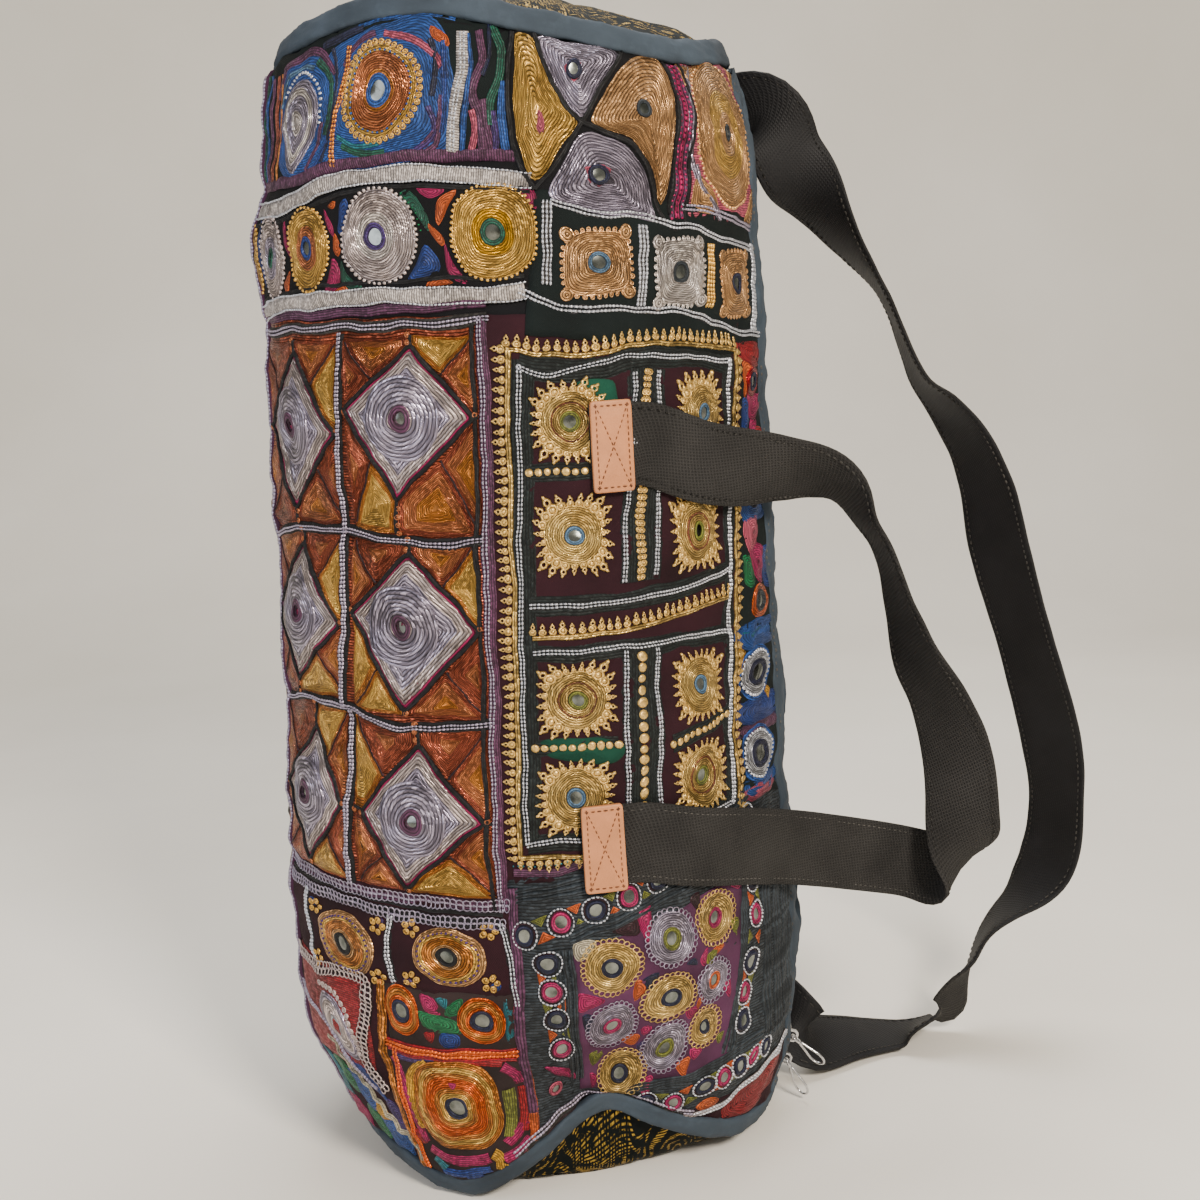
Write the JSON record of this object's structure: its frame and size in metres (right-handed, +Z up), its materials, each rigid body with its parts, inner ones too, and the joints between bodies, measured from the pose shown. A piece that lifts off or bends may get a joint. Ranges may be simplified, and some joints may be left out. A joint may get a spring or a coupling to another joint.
{
  "type": "travel bag",
  "caption": "Soft round travel bag of embroidered patchwork with domed ends, side zip, webbing carry handle and shoulder strap, standing on one end.",
  "frame": {"origin": "middle of the flat resting face of the lower end panel, on the floor", "axes": "+Z up the bag's length, +X towards the zip, -Y the side with the carry handle"},
  "size_m": [0.4404, 0.2563, 0.5808],
  "materials": {
    "patchwork_cloth": "patchwork with metallic thread embroidery",
    "brocade_cloth": "black and gold brocade",
    "grey_canvas": "blue-grey plain canvas",
    "zip_tape": "woven tape",
    "zip_coil": "black nylon coil",
    "bright_metal": "nickel plated",
    "charcoal_webbing": "twill webbing",
    "tan_leather": "smooth with dark stitching"
  },
  "bodies": {
    "bag": {"patchwork_wall": "patchwork_cloth", "top_end_panel": "brocade_cloth", "lower_end_panel": "brocade_cloth", "top_binding": "grey_canvas", "lower_binding": "grey_canvas", "front_zip_facing": "grey_canvas", "rear_zip_facing": "grey_canvas", "zip_tape": "zip_tape", "zip_coil": "zip_coil", "lower_slider": "bright_metal", "upper_slider": "bright_metal", "carry_handle": "charcoal_webbing", "upper_leather_patch": "tan_leather", "lower_leather_patch": "tan_leather", "shoulder_strap": "charcoal_webbing"},
    "upper_pull": {"upper_zip_pull": "bright_metal"},
    "lower_pull": {"lower_zip_pull": "bright_metal"}
  },
  "joints": [
    {"name": "upper_pull_swing", "type": "hinge", "parent": "bag", "child": "upper_pull", "pos_m": [0.12697, -0.01111, 0.03805], "axis": [0.0872, 0.9962, 0], "range_deg": [-120, 15]},
    {"name": "lower_pull_swing", "type": "hinge", "parent": "bag", "child": "lower_pull", "pos_m": [0.12314, -0.01077, 0.02484], "axis": [0.0872, 0.9962, 0], "range_deg": [-28, 25]}
  ]
}
